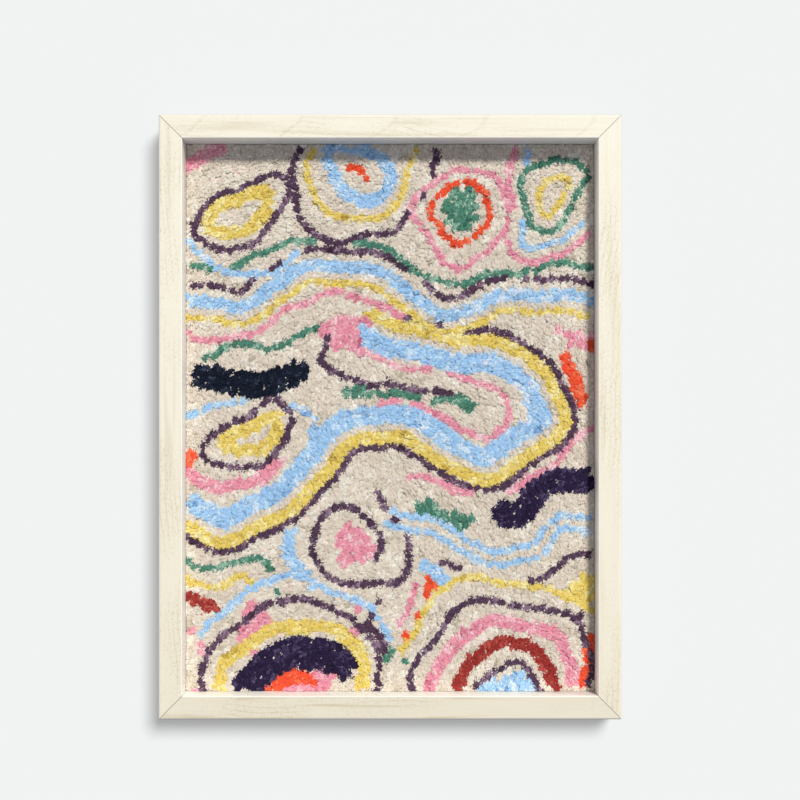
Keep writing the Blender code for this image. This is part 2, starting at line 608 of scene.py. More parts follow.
@dataclass(frozen=True)
class StageFinish:
    """Plain paint of the floor or the wall, which may glow so that a shadow on it stays pale."""

    name: str
    colour: Colour
    glow: float = 0.0
    one_sided: bool = False

    def material(self) -> bpy.types.Material:
        """Makes the paint. A one-sided one lets the part's back be seen through the wall.

        Returns:
            The material.
        """
        net = FinishNet(self.name)
        net.finish(Base_Color=linear(self.colour), Roughness=0.9, Specular_IOR_Level=0.0)
        net.finish(Emission_Color=linear((255, 255, 255)), Emission_Strength=self.glow)
        if self.one_sided:
            clear = net.node("ShaderNodeBsdfTransparent", {}, {}).outputs[0]
            behind = net.node("ShaderNodeNewGeometry", {}, {}).outputs["Backfacing"]
            paint = net.shader.outputs[0]
            either = net.node("ShaderNodeMixShader", {}, {0: behind, 1: paint, 2: clear}).outputs[0]
            net.put(net.tree.nodes["Material Output"].inputs["Surface"], either)
        return net.material


@dataclass(frozen=True)
class Stroke:
    """A ribbon of the picture: rows of tufts side by side along one smooth line.

    Attributes:
        rows: A yarn's letter for each row, from the left of the way the line runs. A dot is a gap.
        points: The line's own points.
        closed: Whether the line ends where it starts.
    """

    rows: str
    points: tuple[Point, ...]
    closed: bool = False


@dataclass(frozen=True)
class Patch:
    """A filled shape of one yarn."""

    yarn: Yarn
    points: tuple[Point, ...]


def oval(middle: Point, radii: Point, turn: float = 0.0, wobble: float = 0.06) -> tuple[Point, ...]:
    """Gives the points of a pebble's uneven outline.

    Args:
        middle: Its middle.
        radii: Its half length and half width.
        turn: How far its length is turned from level, in degrees.
        wobble: How uneven it is, as a share of its size.

    Returns:
        Twelve points round the outline.
    """
    steps = 12
    cos_turn, sin_turn = math.cos(math.radians(turn)), math.sin(math.radians(turn))
    points = []
    for step in range(steps):
        angle = 2 * math.pi * step / steps
        share = 1 + wobble * math.sin(3 * angle) + wobble / 2 * math.cos(2 * angle)
        along, across = radii[0] * share * math.cos(angle), radii[1] * share * math.sin(angle)
        points.append((
            middle[0] + along * cos_turn - across * sin_turn,
            middle[1] + along * sin_turn + across * cos_turn,
        ))
    return tuple(points)


def arch(middle: Point, radii: Point, start: float = -8.0, end: float = 188.0) -> tuple[Point, ...]:
    """Gives the points of an arch.

    Args:
        middle: The middle of the oval that it is part of.
        radii: That oval's half width and half height.
        start: The angle where it starts, in degrees.
        end: The angle where it ends.

    Returns:
        Nine points along the arch.
    """
    steps = 8
    angles = [math.radians(start + (end - start) * step / steps) for step in range(steps + 1)]
    return tuple((middle[0] + radii[0] * math.cos(a), middle[1] + radii[1] * math.sin(a)) for a in angles)


STROKES: tuple[Stroke, ...] = (
    Stroke("P", oval((-106, 152), (34, 27), 18), True),
    Stroke("YY", oval((-106, 152), (22, 15), 18), True),
    Stroke("SS", oval((-22, 175), (27, 17), -14), True),
    Stroke("O", ((-36, 176), (-22, 178), (-10, 172))),
    Stroke("K", oval((56, 152), (30, 34), 8), True),
    Stroke("O", oval((56, 153), (17, 21), 8), True),
    Stroke("G", oval((122, 168), (23, 26)), True),
    Stroke("Y", oval((123, 169), (11, 13)), True),
    Stroke("Y", ((-58, 206), (-64, 178), (-50, 154), (-20, 142), (10, 152), (15, 176), (12, 206))),
    Stroke(
        "P",
        (
            (-70, 206), (-76, 190), (-64, 150), (-38, 128),
            (-4, 128), (20, 140), (30, 176), (26, 206),
        ),
    ),
    Stroke("S", ((-160, 176), (-148, 140), (-128, 116), (-90, 108), (-58, 122))),
    Stroke("S.K", ((96, 206), (94, 168), (98, 132), (122, 124), (160, 132))),
    Stroke("G", ((-160, 116), (-118, 112), (-66, 128), (-16, 120), (36, 102), (86, 114), (160, 106))),
    Stroke("P.SS.Y", ((-160, 90), (-112, 88), (-62, 108), (-12, 100), (38, 80), (88, 94), (160, 82))),
    Stroke("K", ((-160, 66), (-116, 66), (-70, 84), (-18, 80), (10, 70))),
    Stroke(
        "PYY.SSS",
        (
            (-28, 64), (36, 54), (92, 42), (112, 4), (78, -30),
            (26, -20), (-24, -16), (-62, -52), (-104, -74), (-160, -64),
        ),
    ),
    Stroke("OO", arch((-76, -203), (13, 12))),
    Stroke("VVVVV", arch((-76, -203), (34, 34), 2, 178)),
    Stroke("YY", arch((-76, -203), (53, 53))),
    Stroke("P", arch((-76, -203), (67, 70))),
    Stroke("S", arch((-76, -203), (78, 84), 20, 150)),
    Stroke("P", arch((80, -203), (25, 29))),
    Stroke("RR", arch((80, -203), (38, 45))),
    Stroke("KK", arch((80, -203), (53, 62))),
    Stroke("P", arch((80, -203), (66, 76))),
    Stroke("Y", arch((80, -203), (78, 90), 10, 165)),
    Stroke("G", arch((3, -203), (12, 26))),
    Stroke("NNNN", ((-160, 34), (-126, 38), (-98, 24), (-66, 34))),
    Stroke("P", oval((-104, -12), (32, 19), 24), True),
    Stroke("YY", oval((-104, -12), (20, 8), 24), True),
    Stroke("S", ((-160, 8), (-140, 14), (-116, 18), (-88, 14), (-62, 4), (-54, -14), (-70, -34))),
    Stroke("K", ((-40, 46), (-8, 38), (34, 32), (70, 24), (84, 6), (66, -6), (28, 0), (-14, 6), (-38, -2))),
    Stroke("P", ((-54, 56), (-58, 34), (-30, 24), (10, 18), (44, 14))),
    Stroke("GG", ((-44, 14), (-20, 18), (4, 8), (36, 12), (62, 10))),
    Stroke("OO", ((124, 54), (134, 30), (131, 4))),
    Stroke("O", ((142, 60), (149, 40), (147, 10))),
    Stroke("K", ((160, -14), (132, -18), (118, -40), (84, -52), (40, -44), (14, -46))),
    Stroke("VVVV", ((160, -50), (130, -46), (106, -66), (76, -70))),
    Stroke("S.S", ((160, -78), (136, -74), (108, -92), (70, -98), (36, -78), (4, -72))),
    Stroke("P", ((160, -104), (130, -100), (104, -112), (66, -116), (40, -106))),
    Stroke(
        "P",
        (
            (-2, -58), (20, -84), (12, -116), (-20, -128), (-50, -112),
            (-48, -82), (-22, -72), (-4, -88), (-14, -106),
        ),
    ),
    Stroke("SS", ((-36, -56), (-64, -72), (-68, -104), (-52, -130))),
    Stroke("G", ((-160, -92), (-128, -102), (-98, -100), (-84, -112), (-86, -130))),
    Stroke("Y", ((-160, -106), (-132, -116), (-110, -114), (-100, -126))),
    Stroke("RR", ((-160, -124), (-140, -130), (-128, -142))),
    Stroke("K", ((-160, -146), (-146, -156), (-142, -180), (-152, -206))),
    Stroke("OO.K", ((22, -120), (14, -146), (2, -172))),
    Stroke("KK", ((-160, 184), (-142, 194), (-124, 208))),
    Stroke("OO", ((-140, -20), (-146, -36), (-150, -48))),
    Stroke("G", ((-142, 52), (-112, 62), (-86, 54), (-56, 62))),
    Stroke("KK", ((-160, -28), (-134, -42), (-104, -44), (-76, -24))),
    Stroke("SS", ((22, -110), (42, -120), (62, -112))),
    Stroke("K", ((-24, -136), (-30, -158), (-22, -178), (-26, -208))),
    Stroke("P", ((-12, -140), (-16, -160), (-8, -176), (-10, -208))),
    Stroke("P", ((160, -146), (142, -142), (128, -150))),
    Stroke("OO", ((146, -160), (140, -176), (146, -206))),
    Stroke("P", ((-160, -86), (-140, -84), (-116, -92))),
    Stroke("OO", ((70, 66), (86, 62), (98, 54))),
)
PATCHES: tuple[Patch, ...] = (
    Patch(Yarn.GREEN, oval((56, 154), (11, 14), 8)),
    Patch(Yarn.PINK, oval((-76, -203), (25, 24))),
    Patch(Yarn.SKY, oval((80, -203), (19, 22))),
    Patch(Yarn.PINK, ((-36, -92), (-26, -82), (-12, -92), (-20, -108), (-36, -112))),
    Patch(Yarn.YELLOW, ((150, -122), (136, -116), (118, -124), (124, -134), (152, -136))),
    Patch(Yarn.GREEN, ((24, -60), (48, -62), (66, -70), (56, -80), (34, -72))),
    Patch(Yarn.PINK, ((-60, 60), (-30, 66), (-8, 56), (-24, 50), (-50, 44))),
    Patch(Yarn.PINK, ((-118, -146), (-106, -134), (-96, -150), (-104, -168), (-116, -166))),
    Patch(Yarn.PINK, ((150, 58), (138, 66), (122, 70), (128, 60), (150, 48))),
)


@dataclass(frozen=True)
class Swell:
    """A wave that strokes are bent by.

    Attributes:
        size: How far it moves a point.
        way: How much of x and of z it runs along.
        length: Its length, over two pi.
        start: Where in its turn it starts, in radians.
    """

    size: float
    way: Point
    length: float
    start: float

    def at(self, line: np.ndarray) -> np.ndarray:
        """Gives how far it moves each point of a line."""
        run = self.way[0] * line[:, 0] + self.way[1] * line[:, 1]
        return self.size * np.sin(run / self.length + self.start)


SWELLS: tuple[tuple[Swell, ...], ...] = (
    (Swell(6.0, (0, 1), 31, 0.6), Swell(3.5, (1, 1), 19, 1.7), Swell(1.6, (1, -2), 13, 0.0)),
    (Swell(6.0, (1, 0), 34, 2.2), Swell(3.5, (1, -1), 21, 0.4), Swell(1.6, (2, 1), 14, 1.0)),
)


@dataclass
class Tufts:
    """The tufts of the pile, as arrays with one entry each.

    Attributes:
        places: Middles, in millimetres.
        yarns: Yarns.
        turns: The way each tuft lies, in radians.
        drawn: Whether the tuft belongs to a stroke.
        spreads: How far its yarn spreads, where 1 is its own size.
    """

    places: list[Point] = field(default_factory=list)
    yarns: list[Yarn] = field(default_factory=list)
    turns: list[float] = field(default_factory=list)
    drawn: list[bool] = field(default_factory=list)
    spreads: list[float] = field(default_factory=list)


@dataclass
class PictureLayout:
    """Lays the picture's strokes as rows of tufts, and fills the rest with tufts at random.

    Attributes:
        half_width: Half the pile's width, in millimetres.
        half_height: Half its height.
        row_pitch: From one row of a ribbon to the next.
        stitch_pitch: From one tuft of a row to the next.
        own_gap: The least gap between tufts of one ribbon.
        other_gap: The least gap between a ribbon's tufts and those of a ribbon that lies over it.
        ground_gap: The least gap round a tuft of the filling.
        stray: How far a drawn tuft strays from its row.
        taper: How much sooner a ribbon's outer rows end, as a share of their distance from its middle.
        lone_spread: How far the yarn of a row with none beside it spreads. Notches show between its tufts.
        full_spread: How far any other yarn spreads.
        try_pitch: From one place where the filling tries to put a tuft to the next.
        try_stray: How far such a place strays.
        sway: How far the filling's tufts turn this way and that, across the picture and up it, in radians.
        sway_length: How long such a sway is, over two pi.
        seed: Where the random numbers start.
        tufts: The tufts that are placed so far.
        cells: The tufts in each square of the picture, by number, to find those near a place.
        owners: The stroke that each tuft belongs to, by number.
    """

    half_width: float
    half_height: float
    row_pitch: float = 4.7
    stitch_pitch: float = 5.9
    own_gap: float = 3.3
    other_gap: float = 3.9
    ground_gap: float = 4.2
    stray: float = 0.4
    taper: float = 0.9
    lone_spread: float = 1.3
    full_spread: float = 1.4
    try_pitch: float = 1.1
    try_stray: float = 0.7
    sway: Point = (0.5, 0.6)
    sway_length: Point = (40, 50)
    seed: int = 7
    tufts: Tufts = field(default_factory=Tufts)
    cells: dict[tuple[int, int], list[int]] = field(default_factory=dict)
    owners: list[int] = field(default_factory=list)

    CELL = 6.0
    FILLING = -1
    CURVE_STEPS = 24

    @staticmethod
    def bend(line: np.ndarray) -> np.ndarray:
        """Bends a line by long, soft swells, so that no stroke looks ruled."""
        moves = [sum(swell.at(line) for swell in swells) for swells in SWELLS]
        return line + np.stack(moves, 1)

    def smooth(self, points: tuple[Point, ...], closed: bool) -> np.ndarray:
        """Runs a smooth line through points, and bends it.

        Args:
            points: The points that it passes.
            closed: Whether it comes back to the first.

        Returns:
            Close points along the line.
        """
        own = np.array(points, float)
        if closed:
            held = np.concatenate([own[-1:], own, own[:2]])
        else:
            held = np.concatenate([2 * own[:1] - own[1:2], own, 2 * own[-1:] - own[-2:-1]])
        share = np.linspace(0, 1, self.CURVE_STEPS, endpoint=False)[:, None]
        parts = []
        for a, b, c, d in zip(held, held[1:], held[2:], held[3:]):
            curved = (2 * a - 5 * b + 4 * c - d) * share**2 + (3 * b - a - 3 * c + d) * share**3
            parts.append(0.5 * (2 * b + (c - a) * share + curved))
        parts.append(held[-2:-1])
        return self.bend(np.concatenate(parts))

    @staticmethod
    def spaced(line: np.ndarray, pitch: float) -> np.ndarray:
        """Gives points at an even pitch along a line.

        Args:
            line: Close points along the line.
            pitch: From one point to the next.

        Returns:
            The points.
        """
        run = np.concatenate([[0.0], np.cumsum(np.linalg.norm(np.diff(line, axis=0), axis=1))])
        count = max(2, round(run[-1] / pitch))
        at = (np.arange(count) + 0.5) / count * run[-1]
        return np.stack([np.interp(at, run, line[:, 0]), np.interp(at, run, line[:, 1])], 1)

    @staticmethod
    def beside(line: np.ndarray, distance: float) -> np.ndarray:
        """Moves a line sideways.

        Args:
            line: Close points along the line.
            distance: How far it is moved to its left, or to its right below 0.

        Returns:
            The points of the new line.
        """
        way = np.gradient(line, axis=0)
        way /= np.maximum(np.linalg.norm(way, axis=1, keepdims=True), 1e-9)
        return line + np.stack([-way[:, 1], way[:, 0]], 1) * distance

    def crowded(self, place: Point, owner: int, own_gap: float, other_gap: float) -> bool:
        """Tells whether a tuft at a place would lie too near to one that is there.

        Args:
            place: The place.
            owner: The number of the new tuft's stroke.
            own_gap: The least gap to a tuft of the same stroke.
            other_gap: The least gap to any other.

        Returns:
            Whether it would.
        """
        column, row = int(place[0] // self.CELL), int(place[1] // self.CELL)
        for i in range(column - 1, column + 2):
            for j in range(row - 1, row + 2):
                for k in self.cells.get((i, j), ()):
                    gap = own_gap if self.owners[k] == owner else other_gap
                    if math.dist(self.tufts.places[k], place) < gap:
                        return True
        return False

    def add(self, place: Point, yarn: Yarn, turn: float, owner: int, spread: float) -> None:
        """Adds a tuft.

        Args:
            place: Its middle.
            yarn: Its yarn.
            turn: The way it lies, in radians.
            owner: The number of its stroke.
            spread: How far its yarn spreads.
        """
        cell = (int(place[0] // self.CELL), int(place[1] // self.CELL))
        self.cells.setdefault(cell, []).append(len(self.owners))
        self.owners.append(owner)
        self.tufts.places.append(place)
        self.tufts.yarns.append(yarn)
        self.tufts.turns.append(turn)
        self.tufts.drawn.append(owner != self.FILLING)
        self.tufts.spreads.append(spread)

    def lay_stroke(self, stroke: Stroke, owner: int, dice: random.Random) -> None:
        """Lays a ribbon's rows, from its left row to its right one.

        Args:
            stroke: The ribbon.
            owner: Its number.
            dice: The random numbers.
        """
        middle = self.spaced(self.smooth(stroke.points, stroke.closed), 1.0)
        for number, letter in enumerate(stroke.rows):
            if letter == ".":
                continue
            alone = f".{stroke.rows}."[number : number + 3 : 2] == ".."
            spread = self.lone_spread if alone else self.full_spread
            sideways = ((len(stroke.rows) - 1) / 2 - number) * self.row_pitch
            cut = 0 if stroke.closed else round(self.taper * abs(sideways))
            row = self.spaced(self.beside(middle, sideways)[cut : len(middle) - cut], self.stitch_pitch)
            for (x, z), (right, up) in zip(row, np.gradient(row, axis=0)):
                place = (float(x) + dice.gauss(0, self.stray), float(z) + dice.gauss(0, self.stray))
                inside = abs(place[0]) < self.half_width and abs(place[1]) < self.half_height
                if inside and not self.crowded(place, owner, self.own_gap, self.other_gap):
                    self.add(place, Yarn(letter), math.atan2(up, right), owner, spread)

    @staticmethod
    def within(outline: np.ndarray, place: Point) -> bool:
        """Tells whether a place lies inside an outline.

        Args:
            outline: Close points round it, the first one again at the end.
            place: The place.

        Returns:
            Whether it does.
        """
        start, end = outline[:-1], outline[1:]
        spans = (start[:, 1] > place[1]) != (end[:, 1] > place[1])
        rise = np.where(spans, end[:, 1] - start[:, 1], 1.0)
        at = start[:, 0] + (place[1] - start[:, 1]) / rise * (end[:, 0] - start[:, 0])
        return int((spans & (place[0] < at)).sum()) % 2 == 1

    def fill(self, dice: random.Random) -> None:
        """Fills the patches with their yarns and the rest with the cream ground.

        Args:
            dice: The random numbers.
        """
        outlines = [(patch.yarn, self.smooth(patch.points, True)) for patch in PATCHES]
        step, jitter = self.try_pitch, self.try_stray
        tries = [
            (x + dice.uniform(-jitter, jitter), z + dice.uniform(-jitter, jitter))
            for x in np.arange(-self.half_width, self.half_width, step)
            for z in np.arange(-self.half_height, self.half_height, step)
        ]
        dice.shuffle(tries)
        for place in tries:
            if self.crowded(place, self.FILLING, self.ground_gap, self.ground_gap):
                continue
            found = [yarn for yarn, outline in outlines if self.within(outline, place)]
            turn = self.sway[0] * math.sin(place[0] / self.sway_length[0])
            turn += self.sway[1] * math.cos(place[1] / self.sway_length[1])
            self.add(place, found[0] if found else Yarn.CREAM, turn, self.FILLING, self.full_spread)

    def lay(self) -> Tufts:
        """Lays the whole picture.

        Returns:
            Its tufts.
        """
        dice = random.Random(self.seed)
        for owner, stroke in enumerate(STROKES):
            self.lay_stroke(stroke, owner, dice)
        self.fill(dice)
        return self.tufts


@dataclass
class Strands:
    """Strands of yarn, as arrays with one entry each.

    Attributes:
        places: Where each tip stands, across and up from the pile's middle.
        roots: Where each root stands, in the same way.
        tips_y: How far out each tip stands.
        lies: The way each cut end is long, in radians.
        shades: Each one's shade, from 0 to 1.
    """

    places: np.ndarray
    roots: np.ndarray
    tips_y: np.ndarray
    lies: np.ndarray
    shades: np.ndarray

    def chosen(self, which: np.ndarray) -> "Strands":
        """Picks the strands where an array of their length is true."""
        return Strands(*(part[which] for part in vars(self).values()))


@dataclass
class CutPile:
    """The pile: every strand of yarn, joined to one piece for each yarn or part of the ground.

    A tuft gives its strands their yarn. It opens to a few plies, and the strands of a ply lean together.

    Attributes:
        half_width: Half the pile's width.
        half_height: Half its height.
        middle_z: The height of the picture's middle.
        root_y: The front of the ground cloth.
        pitch: From one strand to the next.
        scatter: How far a strand strays from its place.
        radius: A strand's radius at its cut end.
        stretch: How much longer than wide its cut end is, as a factor on both.
        tilt: How far its cut end tilts, in radians.
        ply_pitch: From one ply to the next.
        ply_scatter: How far a ply strays from its place.
        ply_size: A ply's half length and half width.
        ply_crown: How much lower a ply's rim is than its middle.
        ply_lift: How far a ply stands out or in.
        ply_slope: How far a ply's cut face leans.
        tuft_size: A tuft's half length and half width.
        tuft_crown: How much lower a tuft's rim is than its middle.
        tuft_lift: How far a tuft stands out or in.
        gather: How near a strand's root lies to its ply's middle, from 0 to 1.
        slant: How far a stroke's tufts lie across it, in radians.
        rim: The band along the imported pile's edge that its height isn't read from.
        edge: How far a strand may reach past the pile's own half width and half height.
        fuzz: How far the strands of two tufts mix where they meet.
        tuft_shade: How much tufts differ in shade.
        ply_shade: How much the plies of a tuft do.
        strand_shade: How much the strands of a ply do.
        ply_turn: How much plies differ in the way they lie.
        strand_turn: How much the strands of a ply do.
        ply_lean: How far a ply's roots lie aside of its tips.
        rough: How unevenly the strands are cut.
        girth: How much strands differ in radius, as a share.
        sharp: The angle past which a strand's edge looks sharp.
        cream_parts: How many pieces the cream strands are joined to.
        seed: Where the random numbers start.
    """

    half_width: float
    half_height: float
    middle_z: float
    root_y: float
    pitch: float = 0.00076
    scatter: float = 0.00018
    radius: float = 0.00087
    stretch: float = 1.25
    tilt: float = 0.08
    ply_pitch: float = 0.0024
    ply_scatter: float = 0.00045
    ply_size: Point = (0.0017, 0.0011)
    ply_crown: float = 0.00050
    ply_lift: float = 0.00015
    ply_slope: float = 0.18
    tuft_size: Point = (0.0033, 0.0024)
    tuft_crown: float = 0.00035
    tuft_lift: float = 0.00028
    gather: float = 0.55
    slant: float = 0.65
    rim: float = 0.0016
    edge: float = 0.0003
    fuzz: float = 0.40
    tuft_shade: float = 0.12
    ply_shade: float = 0.08
    strand_shade: float = 0.08
    ply_turn: float = 0.5
    strand_turn: float = 0.35
    ply_lean: float = 0.0006
    rough: float = 0.00003
    girth: float = 0.15
    sharp: float = math.radians(40)
    cream_parts: int = 3
    seed: int = 11

    NEIGHBOURS = 5
    FURTHEST = 1.4
    SHADE_WIDTH = 0.004
    ROOT_HEIGHT = 0.02
    TIP_HEIGHT = 0.94
    TIP_BAND = 0.04

    def honeycomb(self, pitch: float, scatter: float, dice: np.random.Generator) -> np.ndarray:
        """Gives places across the pile on a loose honeycomb.

        Args:
            pitch: From one place to the next.
            scatter: How far each strays.
            dice: The random numbers.

        Returns:
            The places, measured from the pile's middle.
        """
        row_pitch = pitch * math.sqrt(3) / 2
        columns = round(2 * self.half_width / pitch)
        rows = round(2 * self.half_height / row_pitch)
        column, row = np.meshgrid(np.arange(columns), np.arange(rows))
        x = (2 * (column + 0.25 + 0.5 * (row % 2)) / columns - 1) * self.half_width
        z = (2 * (row + 0.5) / rows - 1) * self.half_height
        places = np.stack([x.ravel(), z.ravel()], 1)
        places += dice.normal(0, scatter, places.shape)
        limit = np.array([self.half_width, self.half_height])
        return places.clip(-limit, limit)

    def nearest(
        self,
        places: np.ndarray,
        middles: np.ndarray,
        turns: np.ndarray,
        size: Point,
        dice: np.random.Generator,
    ) -> tuple[np.ndarray, np.ndarray, np.ndarray]:
        """Finds which bundle each place belongs to, where bundles are longer than wide.

        Args:
            places: The places.
            middles: The middles of the bundles.
            turns: The way each bundle lies, in radians.
            size: A bundle's half length and half width.
            dice: The random numbers.

        Returns:
            The bundle's number for each place, how far out in the bundle the place is, about 0 to 1,
            and the number of the bundle that it takes its yarn from, which may be the next one.
        """
        tree = KDTree(len(middles))
        for number, (x, z) in enumerate(middles):
            tree.insert((x, z, 0.0), number)
        tree.balance()
        near = np.array([[hit[1] for hit in tree.find_n((x, z, 0.0), self.NEIGHBOURS)] for x, z in places])
        way = places[:, None, :] - middles[near]
        cos_turn, sin_turn = np.cos(turns[near]), np.sin(turns[near])
        along = (way[..., 0] * cos_turn + way[..., 1] * sin_turn) / size[0]
        across = (way[..., 1] * cos_turn - way[..., 0] * sin_turn) / size[1]
        reach = np.hypot(along, across)
        best = reach.argmin(1)
        mixed = (reach * dice.uniform(1 - self.fuzz, 1 + self.fuzz, reach.shape)).argmin(1)
        picked = np.arange(len(places))
        return near[picked, best], reach[picked, best].clip(0, self.FURTHEST), near[picked, mixed]

    def surface(self, places: np.ndarray) -> np.ndarray:
        """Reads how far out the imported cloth's pile stands.

        Args:
            places: The places.

        Returns:
            Its front at each of them.
        """
        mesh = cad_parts[CLOTH_NODE].data
        solid = BVHTree.FromPolygons([v.co for v in mesh.vertices], [p.vertices for p in mesh.polygons])
        inner = np.array([self.half_width, self.half_height]) - 2 * self.rim
        way = Vector((0.0, 1.0, 0.0))
        found = []
        for x, z in places.clip(-inner, inner):
            hit = solid.ray_cast(Vector((x, -1.0, z + self.middle_z)), way)[0]
            found.append(hit.y if hit else self.root_y)
        return np.array(found)

    def strand(self) -> tuple[np.ndarray, np.ndarray]:
        """Makes one strand: three sides that open from a point at its root, and a flat cut end.

        Returns:
            Its corners, with a radius of 1, its root at a height of 0 and its cut end at 1, and the
            corners of each of its triangles.
        """
        shape = bmesh.new()
        bmesh.ops.create_cone(shape, segments=3, radius1=1.0, radius2=1.0, depth=1.0, cap_ends=True)
        bmesh.ops.translate(shape, vec=(0.0, 0.0, 0.5), verts=shape.verts)
        roots = [corner for corner in shape.verts if corner.co.z < 0.5]
        bmesh.ops.pointmerge(shape, verts=roots, merge_co=(0.0, 0.0, 0.0))
        bmesh.ops.triangulate(shape, faces=shape.faces)
        bmesh.ops.recalc_face_normals(shape, faces=shape.faces)
        shape.verts.index_update()
        corners = np.array([corner.co[:] for corner in shape.verts])
        faces = np.array([[corner.index for corner in face.verts] for face in shape.faces])
        shape.free()
        return corners, faces

    def bundled(self, tufts: Tufts, dice: np.random.Generator) -> tuple[Strands, np.ndarray]:
        """Bundles the pile's strands in plies and tufts.

        Args:
            tufts: The tufts of the picture.
            dice: The random numbers.

        Returns:
            The strands, and each one's yarn by its number in Yarn.
        """
        middles = np.array(tufts.places) * MM
        turns = np.array(tufts.turns) + self.slant * np.where(tufts.drawn, 1.0, 2.0)
        plies = self.honeycomb(self.ply_pitch, self.ply_scatter, dice)
        tuft, tuft_reach, _ = self.nearest(plies, middles, turns, self.tuft_size, dice)
        ply_turns = turns[tuft] + dice.normal(0, self.ply_turn, len(plies))
        ply_lift = dice.normal(0, self.tuft_lift, len(middles))[tuft]
        ply_lift += dice.normal(0, self.ply_lift, len(plies))
        ply_lift -= self.tuft_crown * tuft_reach**2
        ply_shade = dice.normal(0, self.tuft_shade, len(middles))[tuft]
        ply_shade += dice.normal(0, self.ply_shade, len(plies))
        ply_slope = dice.normal(0, self.ply_slope, plies.shape)
        ply_lean = dice.normal(0, self.ply_lean, plies.shape)

        places = self.honeycomb(self.pitch, self.scatter, dice)
        ply, reach, _ = self.nearest(places, plies, ply_turns, self.ply_size, dice)
        own_tuft, own_reach, yarn_tuft = self.nearest(places, middles, turns, self.tuft_size, dice)
        out = places - plies[ply]
        tips_y = self.surface(places) + self.ply_crown * reach**2 - ply_lift[ply]
        tips_y += (out * ply_slope[ply]).sum(1) + dice.normal(0, self.rough, len(places))
        roots = places - out * self.gather - ply_lean[ply]
        shades = (0.5 + ply_shade[ply] + dice.normal(0, self.strand_shade, len(places))).clip(0.01, 0.99)
        yarns = np.array([list(Yarn).index(yarn) for yarn in tufts.yarns])[yarn_tuft]
        spreads = np.array(tufts.spreads)[own_tuft]
        spreads = spreads * dice.uniform(1 - self.fuzz / 2, 1 + self.fuzz / 2, len(places))
        yarns[own_reach > spreads] = list(Yarn).index(Yarn.CREAM)
        lies = turns[own_tuft] + dice.normal(0, self.strand_turn, len(places))
        return Strands(places, roots, tips_y, lies, shades), yarns

    def build(self, tufts: Tufts, finishes: dict[Yarn, bpy.types.Material]) -> list[bpy.types.Object]:
        """Builds every strand and joins them to pieces.

        Args:
            tufts: The tufts of the picture.
            finishes: Each yarn's material.

        Returns:
            The pieces of the pile.
        """
        dice = np.random.default_rng(self.seed)
        strands, yarns = self.bundled(tufts, dice)
        part = ((strands.places[:, 1] / self.half_height + 1) / 2 * self.cream_parts).astype(int)
        part = part.clip(0, self.cream_parts - 1)
        pieces = []
        for number, yarn in enumerate(Yarn):
            parts = self.cream_parts if yarn is Yarn.CREAM else 1
            for share in range(parts):
                chosen = yarns == number
                name = f"pile_{yarn.name.lower()}"
                if parts > 1:
                    chosen &= part == share
                    name = f"{name}_{share + 1}"
                piece = self.join(name, strands.chosen(chosen), dice)
                piece.data.materials.append(finishes[yarn])
                pieces.append(piece)
                log.info("%s has %d strands, %d triangles", name, chosen.sum(), len(piece.data.polygons))
        return pieces

    def shaped(self, strands: Strands, corners: np.ndarray, dice: np.random.Generator) -> np.ndarray:
        """Shapes each strand between its root and its tip.

        Args:
            strands: The strands.
            corners: One strand's corners, with a radius and a height of 1.
            dice: The random numbers.

        Returns:
            Where each corner of each strand is.
        """
        count = len(strands.places)
        places, roots, depth = strands.places, strands.roots, np.full(count, self.root_y)
        tip = np.stack([places[:, 0], strands.tips_y, places[:, 1] + self.middle_z], 1)
        root = np.stack([roots[:, 0], depth, roots[:, 1] + self.middle_z], 1)
        axis = tip - root
        long = np.linalg.norm(axis, axis=1, keepdims=True)
        axis /= long
        side = np.cross(axis, np.array([0.0, 0.0, 1.0]))
        side /= np.linalg.norm(side, axis=1, keepdims=True)
        other = np.cross(side, axis)
        cos_lie, sin_lie = np.cos(strands.lies)[:, None], np.sin(strands.lies)[:, None]
        long_way, short_way = other * sin_lie - side * cos_lie, other * cos_lie + side * sin_lie
        radius = (self.radius * dice.uniform(1 - self.girth, 1 + self.girth, count))[:, None]
        turn = dice.uniform(0, 2 * math.pi, count)[:, None]
        tilts = dice.normal(0, self.tilt, (count, 2))
        points = np.empty((count, len(corners), 3))
        for number, (x, y, z) in enumerate(corners):
            right = radius * (x * np.cos(turn) - y * np.sin(turn)) * self.stretch
            up = radius * (y * np.cos(turn) + x * np.sin(turn)) / self.stretch
            height = (long + right * tilts[:, :1] + up * tilts[:, 1:]) * z
            points[:, number] = root + axis * height + long_way * right + short_way * up
        limit_x, limit_z = self.half_width + self.edge, self.half_height + self.edge
        points[..., 0] = points[..., 0].clip(-limit_x, limit_x)
        points[..., 2] = points[..., 2].clip(self.middle_z - limit_z, self.middle_z + limit_z)
        return points

    def join(self, name: str, strands: Strands, dice: np.random.Generator) -> bpy.types.Object:
        """Joins strands to one piece.

        Args:
            name: The piece's name.
            strands: Its strands.
            dice: The random numbers.

        Returns:
            The piece.
        """
        corners, faces = self.strand()
        points = self.shaped(strands, corners, dice)
        used = faces[None] + (np.arange(len(points)) * len(corners))[:, None, None]
        mesh = bpy.data.meshes.new(name)
        mesh.vertices.add(len(points) * len(corners))
        mesh.vertices.foreach_set("co", points.astype(np.float32).ravel())
        mesh.loops.add(used.size)
        mesh.loops.foreach_set("vertex_index", used.astype(np.int32).ravel())
        mesh.polygons.add(used.size // 3)
        mesh.polygons.foreach_set("loop_start", np.arange(0, used.size, 3, dtype=np.int32))
        mesh.update(calc_edges=True)
        self.map_strands(mesh, corners, faces, strands.shades)
        mesh.shade_smooth()
        mesh.set_sharp_from_angle(angle=self.sharp)
        return placed(name, mesh)

